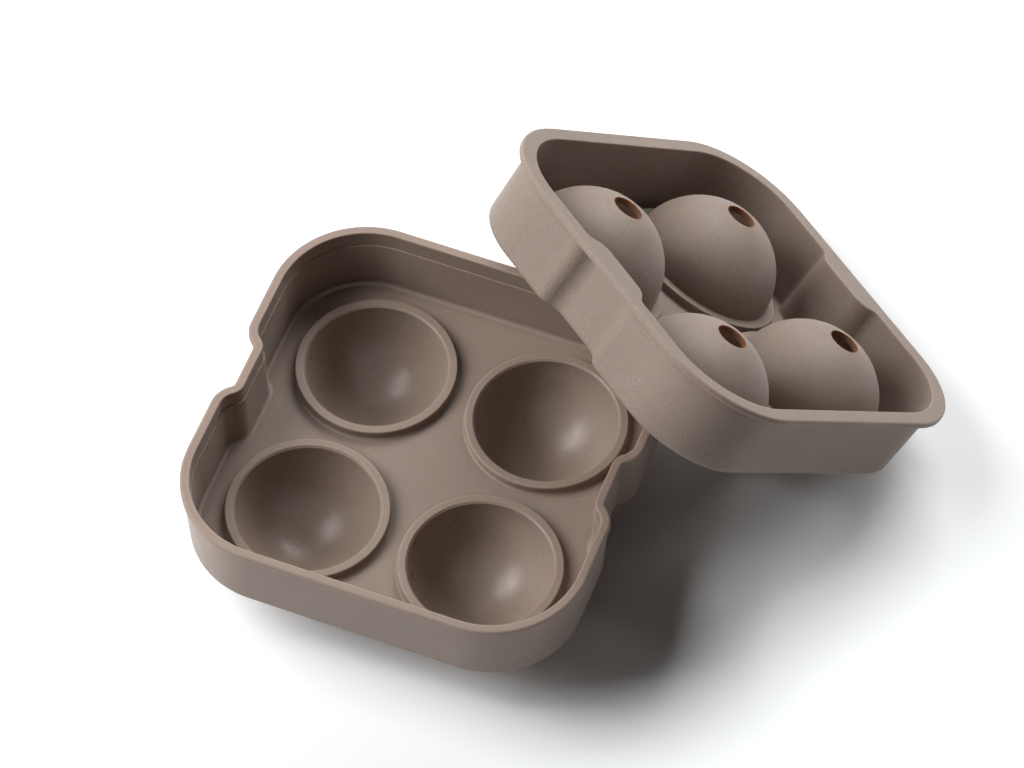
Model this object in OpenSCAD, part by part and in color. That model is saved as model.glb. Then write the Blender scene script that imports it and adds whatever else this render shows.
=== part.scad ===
// Two-piece silicone mould for four ice balls: a base tray with four bowls, and a plug-in lid
// with four hollow domes that complete the balls. The lid is shown taken off, leaning on the tray.

/* [Balls] */
// Diameter of each ice ball
ball_d = 45; // [40:0.5:50]
// Gap between neighbouring balls
ball_web = 12; // [11:0.5:18]
// From the outermost ball edge to the outside of the rim
rim_margin = 14; // [13:0.5:20]
// Diameter of the fill hole at the top of each dome
fill_hole_d = 10; // [6:0.5:14]

/* [Tray] */
// Outer corner radius of the rim
corner_r = 31; // [26:0.5:36]
// Height of the rim above the plane where the two ball halves meet
rim_rise = 22; // [18:0.5:28]
// Width of the rim's top face
rim_w = 3; // [2.4:0.1:4]
// Height of the bead around the outside of the rim
lip_h = 2.3; // [1.5:0.1:4]
// How far that bead stands out from the wall
lip_out = 0.7; // [0.4:0.1:1.2]
// Depth of the small inner ledge below the rim
ledge_drop = 6.2; // [3:0.1:9]
// Width of that ledge
ledge_w = 0.4; // [0.2:0.1:0.8]
// Draft of the outer wall, in degrees
outer_draft = 3; // [1:0.25:4]
// Draft of the inner wall below the ledge, in degrees
inner_draft = 1.6; // [0.5:0.1:3]
// Thickness of the tray's floor
floor_t = 2; // [1.5:0.1:3]
// Thickness of the bowls
bowl_wall = 2; // [1.5:0.1:3]
// Height of the ring around each bowl, above the floor
ring_h = 3.2; // [2:0.1:5]
// Width of that ring's top face
ring_w = 2.4; // [1.6:0.1:3]
// Bevel on the ring's inner edge
ring_bevel = 0.6; // [0.3:0.1:1]
// Depth cut off each bowl's bottom to make a flat to stand on
stand_trim = 0.4; // [0.2:0.1:1]

/* [Grip notches] */
// Depth of the notch in the middle of two opposite sides
notch_depth = 4.4; // [4.2:0.1:6]
// Length of the notch's straight bottom
notch_flat = 14; // [8:0.5:20]
// Outside radius at the bottom of the notch
notch_foot_r = 2; // [1:0.25:2.25]

/* [Lid] */
// Thickness of the flange
flange_t = 2; // [1.5:0.1:3]
// Thickness of the lid's wall
lid_wall = 2; // [1.5:0.1:2.5]
// Thickness of the lid's floor
lid_floor_t = 2; // [1.5:0.1:3]
// Thickness of the domes
dome_wall = 2.1; // [1.5:0.1:3]
// Thickness of the raised collar around each dome
collar_t = 2; // [1.5:0.1:2.5]

/* [Fit of the closed lid] */
// Side gap between the lid's wall and the tray's wall
wall_gap = 0.4; // [0.2:0.1:0.8]
// Side gap between each ring and its recess in the lid
ring_gap = 0.3; // [0.2:0.1:0.6]
// Gap between the lid's underside and the tray's floor
floor_gap = 0.3; // [0.1:0.1:1]

/* [Edges] */
// Radius of the outer bottom edges of both pieces
foot_r = 2; // [1:0.25:2.5]
// Radius where walls meet floors on the inside
floor_r = 1.5; // [0.8:0.1:2]
// Radius of the rim's and the flange's outer top edge
rim_r = 0.8; // [0.3:0.1:0.9]
// Radius of small edges
edge_r = 0.4; // [0.2:0.1:0.6]
// Radius at the foot of the rings and the collars
ring_foot_r = 0.8; // [0.4:0.1:1]

/* [Lid taken off] */
// Turn of the lid about the vertical, in degrees
lean_yaw = 53.5; // [40:0.5:60]
// Tilt of the lid, in degrees
lean_tilt = 39.5; // [34:0.5:45]
// Sideways place of the lid along the rim
lean_slide = -11.5; // [-14:0.5:6]
// Clearance between the leaning lid and the rim it leans on
lean_gap = 0.3; // [0.2:0.1:0.6]

/* [Hidden] */
$fn = 96;

// Plan sizes shared by both pieces
ball_r = ball_d / 2;
pitch = ball_d + ball_web;
half_w = pitch / 2 + ball_r + rim_margin;
corner_at = half_w - corner_r;
ring_in_r = ball_r + ring_bevel;
ring_out_r = ring_in_r + ring_w;
bowl_out_r = ball_r + bowl_wall;
dome_out_r = ball_r + dome_wall;
recess_r = ring_out_r + ring_gap;
collar_out_r = recess_r + collar_t;

// Each flank of a notch is two arcs of the same turn, taken from a 3-4-5 triangle
flank = [0.6, 0.8];
notch_turn_r = notch_depth / (1 - flank.x) - notch_foot_r;
notch_end = notch_flat / 2;
notch_start = notch_end + (notch_turn_r + notch_foot_r) * flank.y;

// Centres of the two arcs of one flank, on the +X side and above the middle
notch_turn_at = [half_w - notch_turn_r, notch_start];
notch_foot_at = [half_w - notch_depth + notch_foot_r, notch_end];

// Heights of the tray, from the surface it stands on
z_meet = bowl_out_r - stand_trim;
z_floor = z_meet - ring_h;
z_base = z_floor - floor_t;
z_rim = z_meet + rim_rise;
z_lip = z_rim - lip_h;
z_ledge = z_rim - ledge_drop;

// Insets of the tray's wall from the outside of the rim
tray_out_foot = lip_out + (z_lip - z_base) * tan(outer_draft);
tray_in_top = rim_w + ledge_w;
tray_in_foot = tray_in_top + (z_ledge - z_floor) * tan(inner_draft);

// Heights of the lid, from the plane where the ball halves meet
lid_bottom = floor_gap - ring_h;
lid_floor = lid_bottom + lid_floor_t;
lid_under = rim_rise;
lid_top = lid_under + flange_t;

// Insets of the lid's wall from the outside of the flange
lid_out_top = rim_w + wall_gap;
lid_out_foot = tray_in_foot + wall_gap;
lid_in_top = lid_out_top + lid_wall;
lid_in_foot = lid_out_foot + lid_wall;
lid_draft = atan((lid_out_foot - lid_out_top) / (lid_under - lid_bottom));

// A swept wall carries a strip of floor or flange, and the flat inside or outside it overlaps that strip
strip_lap = 0.4;
tray_slab_in = hundredths(tray_in_foot + floor_r) + strip_lap / 2;
lid_slab_in = hundredths(lid_in_foot + floor_r) + strip_lap / 2;
flange_strip_in = rim_r + 2 * strip_lap;
flange_root_in = lid_out_top - edge_r - strip_lap / 2;

// The leaning lid: its lower bottom edge is on the ground and its underside meets the rim's corner
lean_edge_x = half_w - lid_out_foot - foot_r * (1 - sin(lid_draft)) / cos(lid_draft);
lean_edge_z = lid_bottom + foot_r;
lean_z = lean_edge_x * sin(lean_tilt) - lean_edge_z * cos(lean_tilt) + foot_r;
rim_reach = corner_at * (cos(lean_yaw) + sin(lean_yaw)) + corner_r - rim_r;
rim_touch = rim_reach * sin(lean_tilt) + (z_rim - rim_r) * cos(lean_tilt) + rim_r + lean_gap;
lean_out = (rim_touch - lid_bottom - lean_z * cos(lean_tilt)) / sin(lean_tilt);

// How far a cut runs past a face
past = 1;

function hundredths(v) = round(v * 100) / 100;
function unit(v) = v / norm(v);

// Corner p of a section, between its neighbours a and b, as an arc of radius r
function corner_points(a, p, b, r) =
    let (
        back = unit(a - p),
        on = unit(b - p),
        turn = atan2(cross(-back, on), -back * on),
        half_angle = acos(back * on) / 2,
        start = p + back * r / tan(half_angle),
        centre = p + unit(back + on) * r / sin(half_angle),
        first = atan2(start.y - centre.y, start.x - centre.x),
        steps = ceil(abs(turn) / (r < 1 ? 31 : 19)))
    [for (i = [0 : steps]) centre + r * [cos(first + turn * i / steps), sin(first + turn * i / steps)]];

// Section drawn anticlockwise, with its own radius at each corner
function rounded(points, radii) =
    let (n = len(points))
    [for (i = [0 : n - 1])
        each radii[i] == 0 ? [points[i]]
            : corner_points(points[(i + n - 1) % n], points[i], points[(i + 1) % n], radii[i])];

// Section turned round and measured from an axis: outwards for a corner, inwards for a hollow
function from_axis(section, r) = [for (p = section) [r + p.x, p.y]];
function to_axis(section, r) =
    [for (i = [len(section) - 1 : -1 : 0]) [r - section[i].x, section[i].y]];

module at_balls() {
    for (x = [-pitch / 2, pitch / 2], y = [-pitch / 2, pitch / 2])
        translate([x, y, 0]) children();
}

// Plain outline of the rim, moved inwards
module square_outline(inset) {
    side = half_w - inset;
    square([2 * side, 2 * corner_at], center = true);
    square([2 * corner_at, 2 * side], center = true);
    for (x = [-corner_at, corner_at], y = [-corner_at, corner_at])
        translate([x, y]) circle(corner_r - inset);
}

// Space that one notch takes from the outline
module notch_space(inset) {
    translate([half_w - notch_depth - inset, -notch_end])
        square([notch_depth + inset + past, notch_flat]);
    for (s = [-1, 1]) {
        foot_at = [notch_foot_at.x, s * notch_foot_at.y];
        turn_at = [notch_turn_at.x, s * notch_turn_at.y];
        translate(foot_at) circle(notch_foot_r + inset);
        difference() {
            polygon([foot_at, turn_at,
                [half_w + past, s * notch_start], [half_w + past, s * notch_end]]);
            translate(turn_at) circle(notch_turn_r - inset);
        }
    }
}

// Outline of the walls, with the grip notches, moved inwards
module notched_outline(inset) {
    difference() {
        square_outline(inset);
        for (a = [0, 180]) rotate(a) notch_space(inset);
    }
}

// One straight stretch of a wall on the +X side: a section has x = minus the inset
module straight_run(section, from, to) {
    translate([half_w, to, 0]) rotate([90, 0, 0]) linear_extrude(to - from) polygon(section);
}

module corner_runs(section) {
    for (a = [0 : 90 : 270])
        rotate(a) translate([corner_at, corner_at, 0])
            rotate_extrude(angle = 90) polygon(from_axis(section, corner_r));
}

// Part of a quarter turn on one side of a flank's line
module flank_run(section, from, along, past_end) {
    reach = 6 * notch_turn_r;
    intersection() {
        rotate(from) rotate_extrude(angle = 90) polygon(section);
        translate([0, 0, -reach]) linear_extrude(3 * reach)
            polygon([[0, 0], reach * along, reach * [2 * sign(along.x), 0], reach * past_end]);
    }
}

// Section carried all round the plain outline
module around_square(section) {
    corner_runs(section);
    for (a = [0 : 90 : 270]) rotate(a) straight_run(section, -corner_at, corner_at);
}

// Section carried all round the notched outline
module around_notched(section) {
    corner_runs(section);
    for (a = [90, 270]) rotate(a) straight_run(section, -corner_at, corner_at);
    for (a = [0, 180]) rotate(a) {
        straight_run(section, notch_start, corner_at);
        straight_run(section, -corner_at, -notch_start);
        translate([-notch_depth, 0, 0]) straight_run(section, -notch_end, notch_end);
        for (s = [-1, 1]) {
            translate([notch_turn_at.x, s * notch_turn_at.y, 0])
                flank_run(from_axis(section, notch_turn_r), s > 0 ? -90 : 0,
                    [flank.x, -s * flank.y], [1, s * 0.3]);
            translate([notch_foot_at.x, s * notch_foot_at.y, 0])
                flank_run(to_axis(section, notch_foot_r), s > 0 ? 90 : 180,
                    [-flank.x, s * flank.y], [-1, -s * 0.3]);
        }
    }
}

tray_section = rounded(
    [[-tray_out_foot, z_base], [-lip_out, z_lip], [0, z_lip], [0, z_rim], [-rim_w, z_rim],
     [-rim_w, z_ledge], [-tray_in_top, z_ledge], [-tray_in_foot, z_floor],
     [-tray_slab_in - strip_lap, z_floor], [-tray_slab_in - strip_lap, z_base]],
    [foot_r, 0, edge_r, rim_r, edge_r, 0, 0, floor_r, 0, 0]);

// Ring around a bowl, with its root inside the floor
ring_section = rounded(
    [[ring_in_r - 3 * ring_bevel, z_floor - floor_t / 2],
     [ring_out_r + 1.5 * ring_foot_r, z_floor - floor_t / 2],
     [ring_out_r + 1.5 * ring_foot_r, z_floor], [ring_out_r, z_floor],
     [ring_out_r, z_meet], [ring_in_r - 3 * ring_bevel, z_meet]],
    [0, 0, 0, ring_foot_r, edge_r, 0]);

module base_tray() {
    color([0.66, 0.58, 0.53])
    difference() {
        union() {
            around_notched(tray_section);
            translate([0, 0, z_base]) linear_extrude(floor_t) notched_outline(tray_slab_in);
            at_balls() rotate_extrude() polygon(ring_section);
            at_balls() intersection() {
                translate([0, 0, z_meet]) sphere(bowl_out_r);
                cylinder(h = z_floor - floor_t / 4, r = bowl_out_r + past);
            }
        }
        at_balls() translate([0, 0, z_meet]) {
            sphere(ball_r);
            translate([0, 0, -2 * ring_bevel]) cylinder(
                h = 3 * ring_bevel, r1 = ball_r - ring_bevel, r2 = ball_r + 2 * ring_bevel);
        }
    }
}

lid_section = rounded(
    [[-lid_out_foot, lid_bottom], [-lid_out_top, lid_under], [strip_lap - flange_root_in, lid_under],
     [strip_lap - flange_root_in, lid_top], [-lid_in_top, lid_top], [-lid_in_foot, lid_floor],
     [-lid_slab_in - strip_lap, lid_floor], [-lid_slab_in - strip_lap, lid_bottom]],
    [foot_r, edge_r, 0, 0, edge_r, floor_r, 0, 0]);

flange_section = rounded(
    [[-flange_strip_in - strip_lap, lid_under], [0, lid_under], [0, lid_top],
     [-flange_strip_in - strip_lap, lid_top]],
    [0, edge_r, rim_r, 0]);

// Raised collar around a dome, with its root inside the floor
collar_section = rounded(
    [[ball_r - ring_bevel, lid_floor - lid_floor_t / 2],
     [collar_out_r + 1.25 * ring_foot_r, lid_floor - lid_floor_t / 2],
     [collar_out_r + 1.25 * ring_foot_r, lid_floor], [collar_out_r, lid_floor],
     [collar_out_r, collar_t], [ball_r - ring_bevel, collar_t]],
    [0, 0, 0, ring_foot_r, edge_r, 0]);

// The lid as it sits in the tray, with z = 0 where the ball halves meet
module closed_lid() {
    difference() {
        union() {
            around_notched(lid_section);
            around_square(flange_section);
            translate([0, 0, lid_under]) linear_extrude(flange_t) difference() {
                square_outline(flange_strip_in);
                notched_outline(flange_root_in);
            }
            translate([0, 0, lid_bottom]) linear_extrude(lid_floor_t) notched_outline(lid_slab_in);
            at_balls() rotate_extrude() polygon(collar_section);
            at_balls() intersection() {
                sphere(dome_out_r);
                translate([0, 0, collar_t / 2]) cylinder(h = dome_out_r, r = dome_out_r + past);
            }
        }
        at_balls() {
            sphere(ball_r);
            translate([0, 0, lid_bottom - past]) cylinder(h = past - lid_bottom, r = recess_r);
            cylinder(h = dome_out_r + past, d = fill_hole_d);
        }
    }
}

module lid() {
    color([0.68, 0.60, 0.55])
    rotate(lean_yaw) translate([lean_out, lean_slide, lean_z])
        rotate([0, lean_tilt, 0]) closed_lid();
}

base_tray();
lid();
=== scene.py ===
import math

import bpy
from mathutils import Matrix, Vector

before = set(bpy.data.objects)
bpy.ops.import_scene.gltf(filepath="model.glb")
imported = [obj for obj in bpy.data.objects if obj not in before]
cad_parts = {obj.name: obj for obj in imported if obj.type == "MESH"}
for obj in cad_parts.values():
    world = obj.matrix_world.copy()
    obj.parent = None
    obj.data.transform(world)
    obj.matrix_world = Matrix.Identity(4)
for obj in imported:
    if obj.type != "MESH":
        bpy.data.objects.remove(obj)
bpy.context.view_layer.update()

# All lengths are in metres, all colours are linear, and a pattern's scale is per metre.

# Camera, from a fit to the photograph's 1024 x 768 frame; lens and sensor are in millimetres
CAM_PLACE = Vector((0.31144, -0.7698, 1.27961))
CAM_AIM = Vector((0.01269, 0.03982, 0.02))
CAM_ROLL = math.radians(-0.758)
CAM_LENS = 171.2
CAM_SENSOR = 36.0

# The balls' middles: plus and minus BALL_OUT in X and Y, at height BOWL_UP in the tray and at
# height 0 in the lid's own axes
BALL_OUT = 0.0285
BALL_R = 0.0225
BOWL_UP = 0.0241

# A fill hole's radius, a little less than its 5 mm so that its outer edge stays pale
HOLE_R = 0.0049

# How far past its radius a skin still counts as inside, and where it no longer does
SKIN_IN = 0.0002
SKIN_OUT = 0.0006

# Where the lid leans, as in the CAD source
LID_MIDDLE = (0.063017, 0.065829, 0.040059)
LID_TILT = math.radians(39.5)
LID_YAW = math.radians(53.5)

# The two pieces' silicone; the bowls are smoother, and grain scales the matt grain's depth
TRAY_COLOUR = (0.287, 0.223, 0.185)
TRAY_GLOSS = 0.42
TRAY_ROUGH = 0.45
TRAY_GRAIN = 0.45
BOWL_ROUGH = 0.31
LID_COLOUR = (0.290, 0.230, 0.194)
LID_GLOSS = 0.32
LID_ROUGH = 0.52
LID_GRAIN = 1.0

# Painted glow and shade in the fill holes and high inside the domes: a colour that stands in for
# the light that comes through the silicone and the shade inside them
PAINTED_GLOW_AND_SHADE_COLOUR = (0.255, 0.128, 0.070)
VAULT_HEIGHTS = (0.002, 0.014)
VAULT_SHARE = 0.8

# The parts of a noise's range that become the whole of an effect
WIDE = (0.3, 0.7)
NARROW = (0.35, 0.65)

# Broad cloudiness and fine tone; a noise is its scale, detail and roughness
CLOUD_NOISE = (28.0, 4.0, 0.6)
CLOUD_DARKER = 0.95
CLOUD_PALER = 1.06
FINE_NOISE = (1100.0, 2.0, 0.7)
FINE_SWING = 0.07

# Pale dust specks and dark specks; specks are their scale, radius and the part of the cells that
# have one
DUST_SPECKS = (210.0, 0.00034, 0.4)
DUST_COVER = 0.55
DUST_PALER = 1.9
DARK_SPECKS = (150.0, 0.00030, 0.2)
DARK_SPECK_COVER = 0.75
DARK_SPECK_DARKER = 0.35
SPECK_CORE = 0.7

# Painted shade in crevices and corners, and paler edges; a span goes from none of the effect to
# all of it
PAINTED_SHADE_REACH = 0.004
PAINTED_SHADE_SPAN = (0.85, 0.35)
PAINTED_SHADE_SHARE = 0.45
PAINTED_SHADE_TINT = (0.50, 0.40, 0.33)
EDGE_REACH = 0.0008
EDGE_SPAN = (0.95, 0.6)
EDGE_PALER = 1.35
EDGE_NOISE = (700.0, 3.0, 0.5)
EDGE_LEAST = 0.4
NEAR_SAMPLES = 2

# Matt grain and soft waves in the surface
GRAIN_NOISE = (1900.0, 4.0, 0.7)
GRAIN_BUMP = 0.22
GRAIN_DEPTH = 0.0001
WAVE_NOISE = (210.0, 2.0, 0.5)
WAVE_BUMP = 0.12
WAVE_DEPTH = 0.0003
ROUGH_SWING = 0.04

# The silicone shader's other values
SILICONE = {
    "IOR": 1.42,
    "Subsurface Weight": 0.35,
    "Subsurface Radius": (1.0, 0.48, 0.18),
    "Subsurface Scale": 0.0034,
    "Sheen Weight": 0.06,
    "Sheen Roughness": 0.5,
}

# Floor: its grey for the light that it throws back, its colour as seen, and the distances from
# the origin between which it fades to plain white
PAPER_NOISE = (40.0, 3.0, 0.5)
PAPER_GREYS = (0.78, 0.80)
FLOOR_SEEN = (1.235, 1.27, 1.295)
FADE = (0.13, 0.36)
FLOOR_HALF = 4.0
FLOOR_Z = -0.0002

# Softboxes at the photograph's left and along its back, both low, so that the inner walls that
# face the camera stay dark: name, place, width and height, watts, colour
WARM = (1.0, 0.99, 0.98)
NEUTRAL = (1.0, 1.0, 1.0)
LIT_POINT = Vector((0.03, 0.03, 0.03))
LIGHTS = (
    ("left", (-0.825, -0.316, 0.629), (0.70, 0.50), 8.6, WARM),
    ("left_high", (-0.622, -0.085, 0.908), (0.60, 0.45), 5.3, WARM),
    ("back", (0.15, 0.888, 0.707), (0.80, 0.48), 10.6, NEUTRAL),
)

WHITE = (1.0, 1.0, 1.0)
SKY_STRENGTH = 0.02
WHITE_STRENGTH = 1.0

# A colour Mix node's sockets: factor, the two colours and the result
MIX_FAC, MIX_A, MIX_B, MIX_RESULT = 0, 6, 7, 2

scene = bpy.context.scene
scene.view_settings.view_transform = "Standard"


def new_material(name):
    mat = bpy.data.materials.new(name)
    mat.use_nodes = True
    mat.node_tree.nodes.clear()
    return mat, mat.node_tree


def plug(tree, value, socket):
    """Links an output to the socket, or sets the socket to a number or a colour."""
    if isinstance(value, bpy.types.NodeSocket):
        tree.links.new(value, socket)
    elif isinstance(value, tuple):
        socket.default_value = (*value, 1.0)
    else:
        socket.default_value = value


def maths(tree, operation, *values):
    n = tree.nodes.new("ShaderNodeMath")
    n.operation = operation
    for value, socket in zip(values, n.inputs):
        plug(tree, value, socket)
    return n.outputs[0]


def noise(tree, coords, scale, detail, rough):
    n = tree.nodes.new("ShaderNodeTexNoise")
    n.inputs["Scale"].default_value = scale
    n.inputs["Detail"].default_value = detail
    n.inputs["Roughness"].default_value = rough
    tree.links.new(coords, n.inputs["Vector"])
    return n.outputs["Fac"]


def remap(tree, value, span, to):
    """The value, with span stretched to the range that it goes to, and held at its ends."""
    n = tree.nodes.new("ShaderNodeMapRange")
    n.inputs["From Min"].default_value, n.inputs["From Max"].default_value = span
    n.inputs["To Min"].default_value, n.inputs["To Max"].default_value = to
    tree.links.new(value, n.inputs["Value"])
    return n.outputs["Result"]


def mix_colour(tree, fac, a, b, blend="MIX"):
    n = tree.nodes.new("ShaderNodeMix")
    n.data_type = "RGBA"
    n.blend_type = blend
    for value, k in ((fac, MIX_FAC), (a, MIX_A), (b, MIX_B)):
        plug(tree, value, n.inputs[k])
    return n.outputs[MIX_RESULT]


def grey(tree, value):
    n = tree.nodes.new("ShaderNodeCombineColor")
    for socket in n.inputs:
        tree.links.new(value, socket)
    return n.outputs[0]


def split(tree, vector):
    n = tree.nodes.new("ShaderNodeSeparateXYZ")
    tree.links.new(vector, n.inputs[0])
    return n.outputs


def join(tree, *values):
    n = tree.nodes.new("ShaderNodeCombineXYZ")
    for value, socket in zip(values, n.inputs):
        tree.links.new(value, socket)
    return n.outputs[0]


def length(tree, vector):
    n = tree.nodes.new("ShaderNodeVectorMath")
    n.operation = "LENGTH"
    tree.links.new(vector, n.inputs[0])
    return n.outputs["Value"]


def bump(tree, height, strength, depth, normal=None):
    n = tree.nodes.new("ShaderNodeBump")
    n.inputs["Strength"].default_value = strength
    n.inputs["Distance"].default_value = depth
    tree.links.new(height, n.inputs["Height"])
    if normal is not None:
        tree.links.new(normal, n.inputs["Normal"])
    return n.outputs["Normal"]


def scaled(colour, factor):
    return tuple(c * factor for c in colour)


def specks(tree, coords, scale, radius, share):
    """Sparse round specks: 1 inside a speck, 0 outside."""
    n = tree.nodes.new("ShaderNodeTexVoronoi")
    n.inputs["Scale"].default_value = scale
    tree.links.new(coords, n.inputs["Vector"])
    span = (radius * SPECK_CORE * scale, radius * scale)
    near = remap(tree, n.outputs["Distance"], span, (1.0, 0.0))
    pick = tree.nodes.new("ShaderNodeSeparateColor")
    tree.links.new(n.outputs["Color"], pick.inputs[0])
    return maths(tree, "MULTIPLY", near, maths(tree, "LESS_THAN", pick.outputs[0], share))


def nearby(tree, distance, inside):
    """1 on open faces, less where the piece's own faces are near.

    Those faces are in front of the surface in crevices, and behind it (inside) along edges.
    """
    n = tree.nodes.new("ShaderNodeAmbientOcclusion")
    n.samples = NEAR_SAMPLES
    n.inside = inside
    n.only_local = True
    n.inputs["Distance"].default_value = distance
    return n.outputs["AO"]


def from_ball(tree, coords):
    """X and Y from the nearest ball's middle, with the four quarters folded into one."""
    return [maths(tree, "SUBTRACT", maths(tree, "ABSOLUTE", side), BALL_OUT)
            for side in split(tree, coords)[:2]]


def within(tree, vector, radius):
    """1 where the vector is no longer than the radius, 0 a little further out."""
    return remap(tree, length(tree, vector), (radius + SKIN_IN, radius + SKIN_OUT), (1.0, 0.0))


def in_bowl(tree, coords):
    """1 on the inner skin of the four bowls, 0 elsewhere."""
    x, y = from_ball(tree, coords)
    up = maths(tree, "SUBTRACT", split(tree, coords)[2], BOWL_UP)
    return within(tree, join(tree, x, y, up), BALL_R)


def painted_glow_and_shade_mask(tree, coords):
    """Where glow and shade are painted: 1 in the four fill holes, less on the domes' inner skin,
    fading out towards their foot.
    """
    lean = tree.nodes.new("ShaderNodeMapping")
    lean.vector_type = "TEXTURE"
    lean.inputs["Location"].default_value = LID_MIDDLE
    lean.inputs["Rotation"].default_value = (0.0, LID_TILT, LID_YAW)
    tree.links.new(coords, lean.inputs["Vector"])
    own = lean.outputs[0]
    x, y = from_ball(tree, own)
    up = split(tree, own)[2]
    skin = within(tree, join(tree, x, y, up), BALL_R)
    high = remap(tree, up, VAULT_HEIGHTS, (0.0, VAULT_SHARE))
    hole = within(tree, join(tree, x, y), HOLE_R)
    return maths(tree, "MAXIMUM", maths(tree, "MULTIPLY", skin, high), hole)


def silicone_colour(tree, coords, colour, grain):
    """Cloudy tone, fine tone, pale dust specks, dark specks, painted shade in crevices and
    corners, and paler edges.
    """
    cloud = remap(tree, noise(tree, coords, *CLOUD_NOISE), WIDE, (0.0, 1.0))
    base = mix_colour(tree, cloud, scaled(colour, CLOUD_DARKER), scaled(colour, CLOUD_PALER))
    swing = FINE_SWING * grain
    fine = remap(tree, noise(tree, coords, *FINE_NOISE), NARROW, (1.0 - swing, 1.0 + swing))
    base = mix_colour(tree, 1.0, base, grey(tree, fine), "MULTIPLY")
    dust = maths(tree, "MULTIPLY", specks(tree, coords, *DUST_SPECKS), DUST_COVER)
    base = mix_colour(tree, dust, base, scaled(colour, DUST_PALER))
    dark_specks = maths(tree, "MULTIPLY", specks(tree, coords, *DARK_SPECKS), DARK_SPECK_COVER)
    base = mix_colour(tree, dark_specks, base, scaled(colour, DARK_SPECK_DARKER))
    # Painted shade: darker, warmer colour where the piece's own faces are near, in crevices and
    # corners
    crevice_painted_shade = remap(tree, nearby(tree, PAINTED_SHADE_REACH, False), PAINTED_SHADE_SPAN, (0.0, PAINTED_SHADE_SHARE))
    base = mix_colour(tree, crevice_painted_shade, base, tuple(c * k for c, k in zip(colour, PAINTED_SHADE_TINT)))
    edge = remap(tree, nearby(tree, EDGE_REACH, True), EDGE_SPAN, (0.0, 1.0))
    patchy = remap(tree, noise(tree, coords, *EDGE_NOISE), NARROW, (EDGE_LEAST, 1.0))
    return mix_colour(tree, maths(tree, "MULTIPLY", edge, patchy), base,
                      scaled(colour, EDGE_PALER))


def silicone(name, colour, gloss, roughness, grain, bowl_roughness=None, painted_glow_and_shade=None):
    """Moulded silicone with a matt grain, soft waves and a little light let through; when given
    a colour for it, also painted glow and shade in the fill holes and high in the domes.
    """
    mat, tree = new_material(name)
    coords = tree.nodes.new("ShaderNodeTexCoord").outputs["Object"]
    base = silicone_colour(tree, coords, colour, grain)
    # Painted glow and shade in the lid's fill holes and high inside its domes
    if painted_glow_and_shade is not None:
        base = mix_colour(tree, painted_glow_and_shade_mask(tree, coords), base, painted_glow_and_shade)

    soft = noise(tree, coords, *WAVE_NOISE)
    rough = remap(tree, soft, WIDE, (roughness - ROUGH_SWING, roughness + ROUGH_SWING))
    if bowl_roughness is not None:
        drop = maths(tree, "MULTIPLY", in_bowl(tree, coords), roughness - bowl_roughness)
        rough = maths(tree, "SUBTRACT", rough, drop)

    normal = bump(tree, noise(tree, coords, *GRAIN_NOISE), GRAIN_BUMP * grain, GRAIN_DEPTH)
    normal = bump(tree, soft, WAVE_BUMP, WAVE_DEPTH, normal)

    shader = tree.nodes.new("ShaderNodeBsdfPrincipled")
    shader.inputs["Specular IOR Level"].default_value = gloss
    for key, value in SILICONE.items():
        shader.inputs[key].default_value = value
    tree.links.new(base, shader.inputs["Base Color"])
    tree.links.new(rough, shader.inputs["Roughness"])
    tree.links.new(normal, shader.inputs["Normal"])
    out = tree.nodes.new("ShaderNodeOutputMaterial")
    tree.links.new(shader.outputs["BSDF"], out.inputs["Surface"])
    return mat


def is_seen(tree):
    """1 for rays that show the background: from the camera, by reflection or through glass."""
    path = tree.nodes.new("ShaderNodeLightPath").outputs
    seen = maths(tree, "MAXIMUM", path["Is Camera Ray"], path["Is Glossy Ray"])
    return maths(tree, "MAXIMUM", seen, path["Is Transmission Ray"])


def glow(tree, kind, strength):
    n = tree.nodes.new(kind)
    n.inputs["Color"].default_value = (*WHITE, 1.0)
    n.inputs["Strength"].default_value = strength
    return n.outputs[0]


def mix_shaders(tree, fac, a, b):
    n = tree.nodes.new("ShaderNodeMixShader")
    for value, socket in zip((fac, a, b), n.inputs):
        tree.links.new(value, socket)
    return n.outputs[0]


def backdrop():
    """Pale floor that looks white where it is lit, keeps the shadow and fades to plain white."""
    mat, tree = new_material("backdrop")
    seen = is_seen(tree)
    coords = tree.nodes.new("ShaderNodeTexCoord").outputs["Object"]
    paper = grey(tree, remap(tree, noise(tree, coords, *PAPER_NOISE), WIDE, PAPER_GREYS))
    shader = tree.nodes.new("ShaderNodeBsdfDiffuse")
    tree.links.new(mix_colour(tree, seen, paper, FLOOR_SEEN), shader.inputs["Color"])
    away = remap(tree, length(tree, coords), FADE, (0.0, 1.0))
    plain = glow(tree, "ShaderNodeEmission", WHITE_STRENGTH)
    blend = mix_shaders(tree, maths(tree, "MULTIPLY", seen, away), shader.outputs["BSDF"], plain)
    out = tree.nodes.new("ShaderNodeOutputMaterial")
    tree.links.new(blend, out.inputs["Surface"])
    return mat


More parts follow.
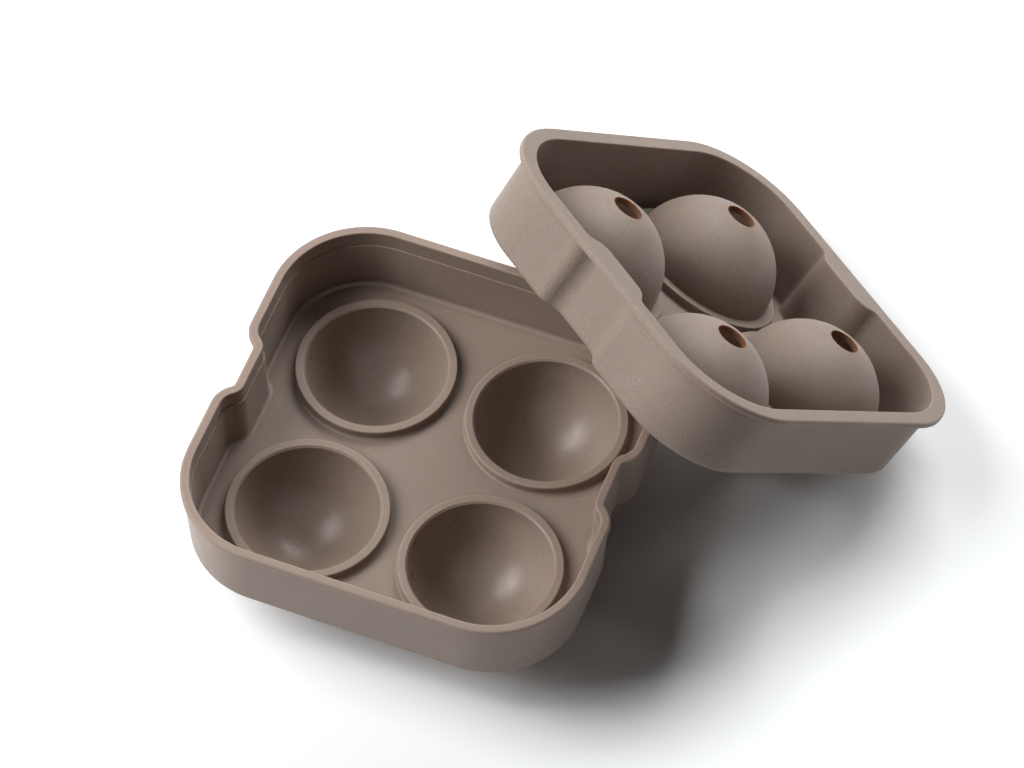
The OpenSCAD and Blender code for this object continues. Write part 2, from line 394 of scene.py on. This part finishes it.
def area_light(name, place, size, power, colour):
    data = bpy.data.lights.new(name, "AREA")
    data.shape = "RECTANGLE"
    data.size, data.size_y = size
    data.energy = power
    data.color = colour
    obj = bpy.data.objects.new(name, data)
    obj.location = place
    obj.rotation_euler = (LIT_POINT - Vector(place)).to_track_quat("-Z", "Y").to_euler()
    scene.collection.objects.link(obj)


# The CAD solids keep their shapes and get their materials
looks = {
    "base_tray": silicone("tray_silicone", TRAY_COLOUR, TRAY_GLOSS, TRAY_ROUGH, TRAY_GRAIN,
                          bowl_roughness=BOWL_ROUGH),
    "lid": silicone("lid_silicone", LID_COLOUR, LID_GLOSS, LID_ROUGH, LID_GRAIN,
                    painted_glow_and_shade=PAINTED_GLOW_AND_SHADE_COLOUR),
}
for name, mat in looks.items():
    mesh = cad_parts[name].data
    mesh.materials.clear()
    mesh.materials.append(mat)

mesh = bpy.data.meshes.new("floor")
mesh.from_pydata([(x * FLOOR_HALF, y * FLOOR_HALF, FLOOR_Z)
                  for x, y in ((-1, -1), (1, -1), (1, 1), (-1, 1))], [], [(0, 1, 2, 3)])
mesh.materials.append(backdrop())
floor = bpy.data.objects.new("floor", mesh)
scene.collection.objects.link(floor)

for light in LIGHTS:
    area_light(*light)

world = bpy.data.worlds.new("world")
scene.world = world
world.use_nodes = True
tree = world.node_tree
tree.nodes.clear()
sky = glow(tree, "ShaderNodeBackground", SKY_STRENGTH)
white = glow(tree, "ShaderNodeBackground", WHITE_STRENGTH)
out = tree.nodes.new("ShaderNodeOutputWorld")
tree.links.new(mix_shaders(tree, is_seen(tree), sky, white), out.inputs["Surface"])

cam_data = bpy.data.cameras.new("camera")
cam_data.sensor_width = CAM_SENSOR
cam_data.lens = CAM_LENS
cam = bpy.data.objects.new("camera", cam_data)
view = (CAM_AIM - CAM_PLACE).to_track_quat("-Z", "Y").to_matrix().to_4x4()
cam.matrix_world = Matrix.Translation(CAM_PLACE) @ view @ Matrix.Rotation(-CAM_ROLL, 4, "Z")
scene.collection.objects.link(cam)
scene.camera = cam
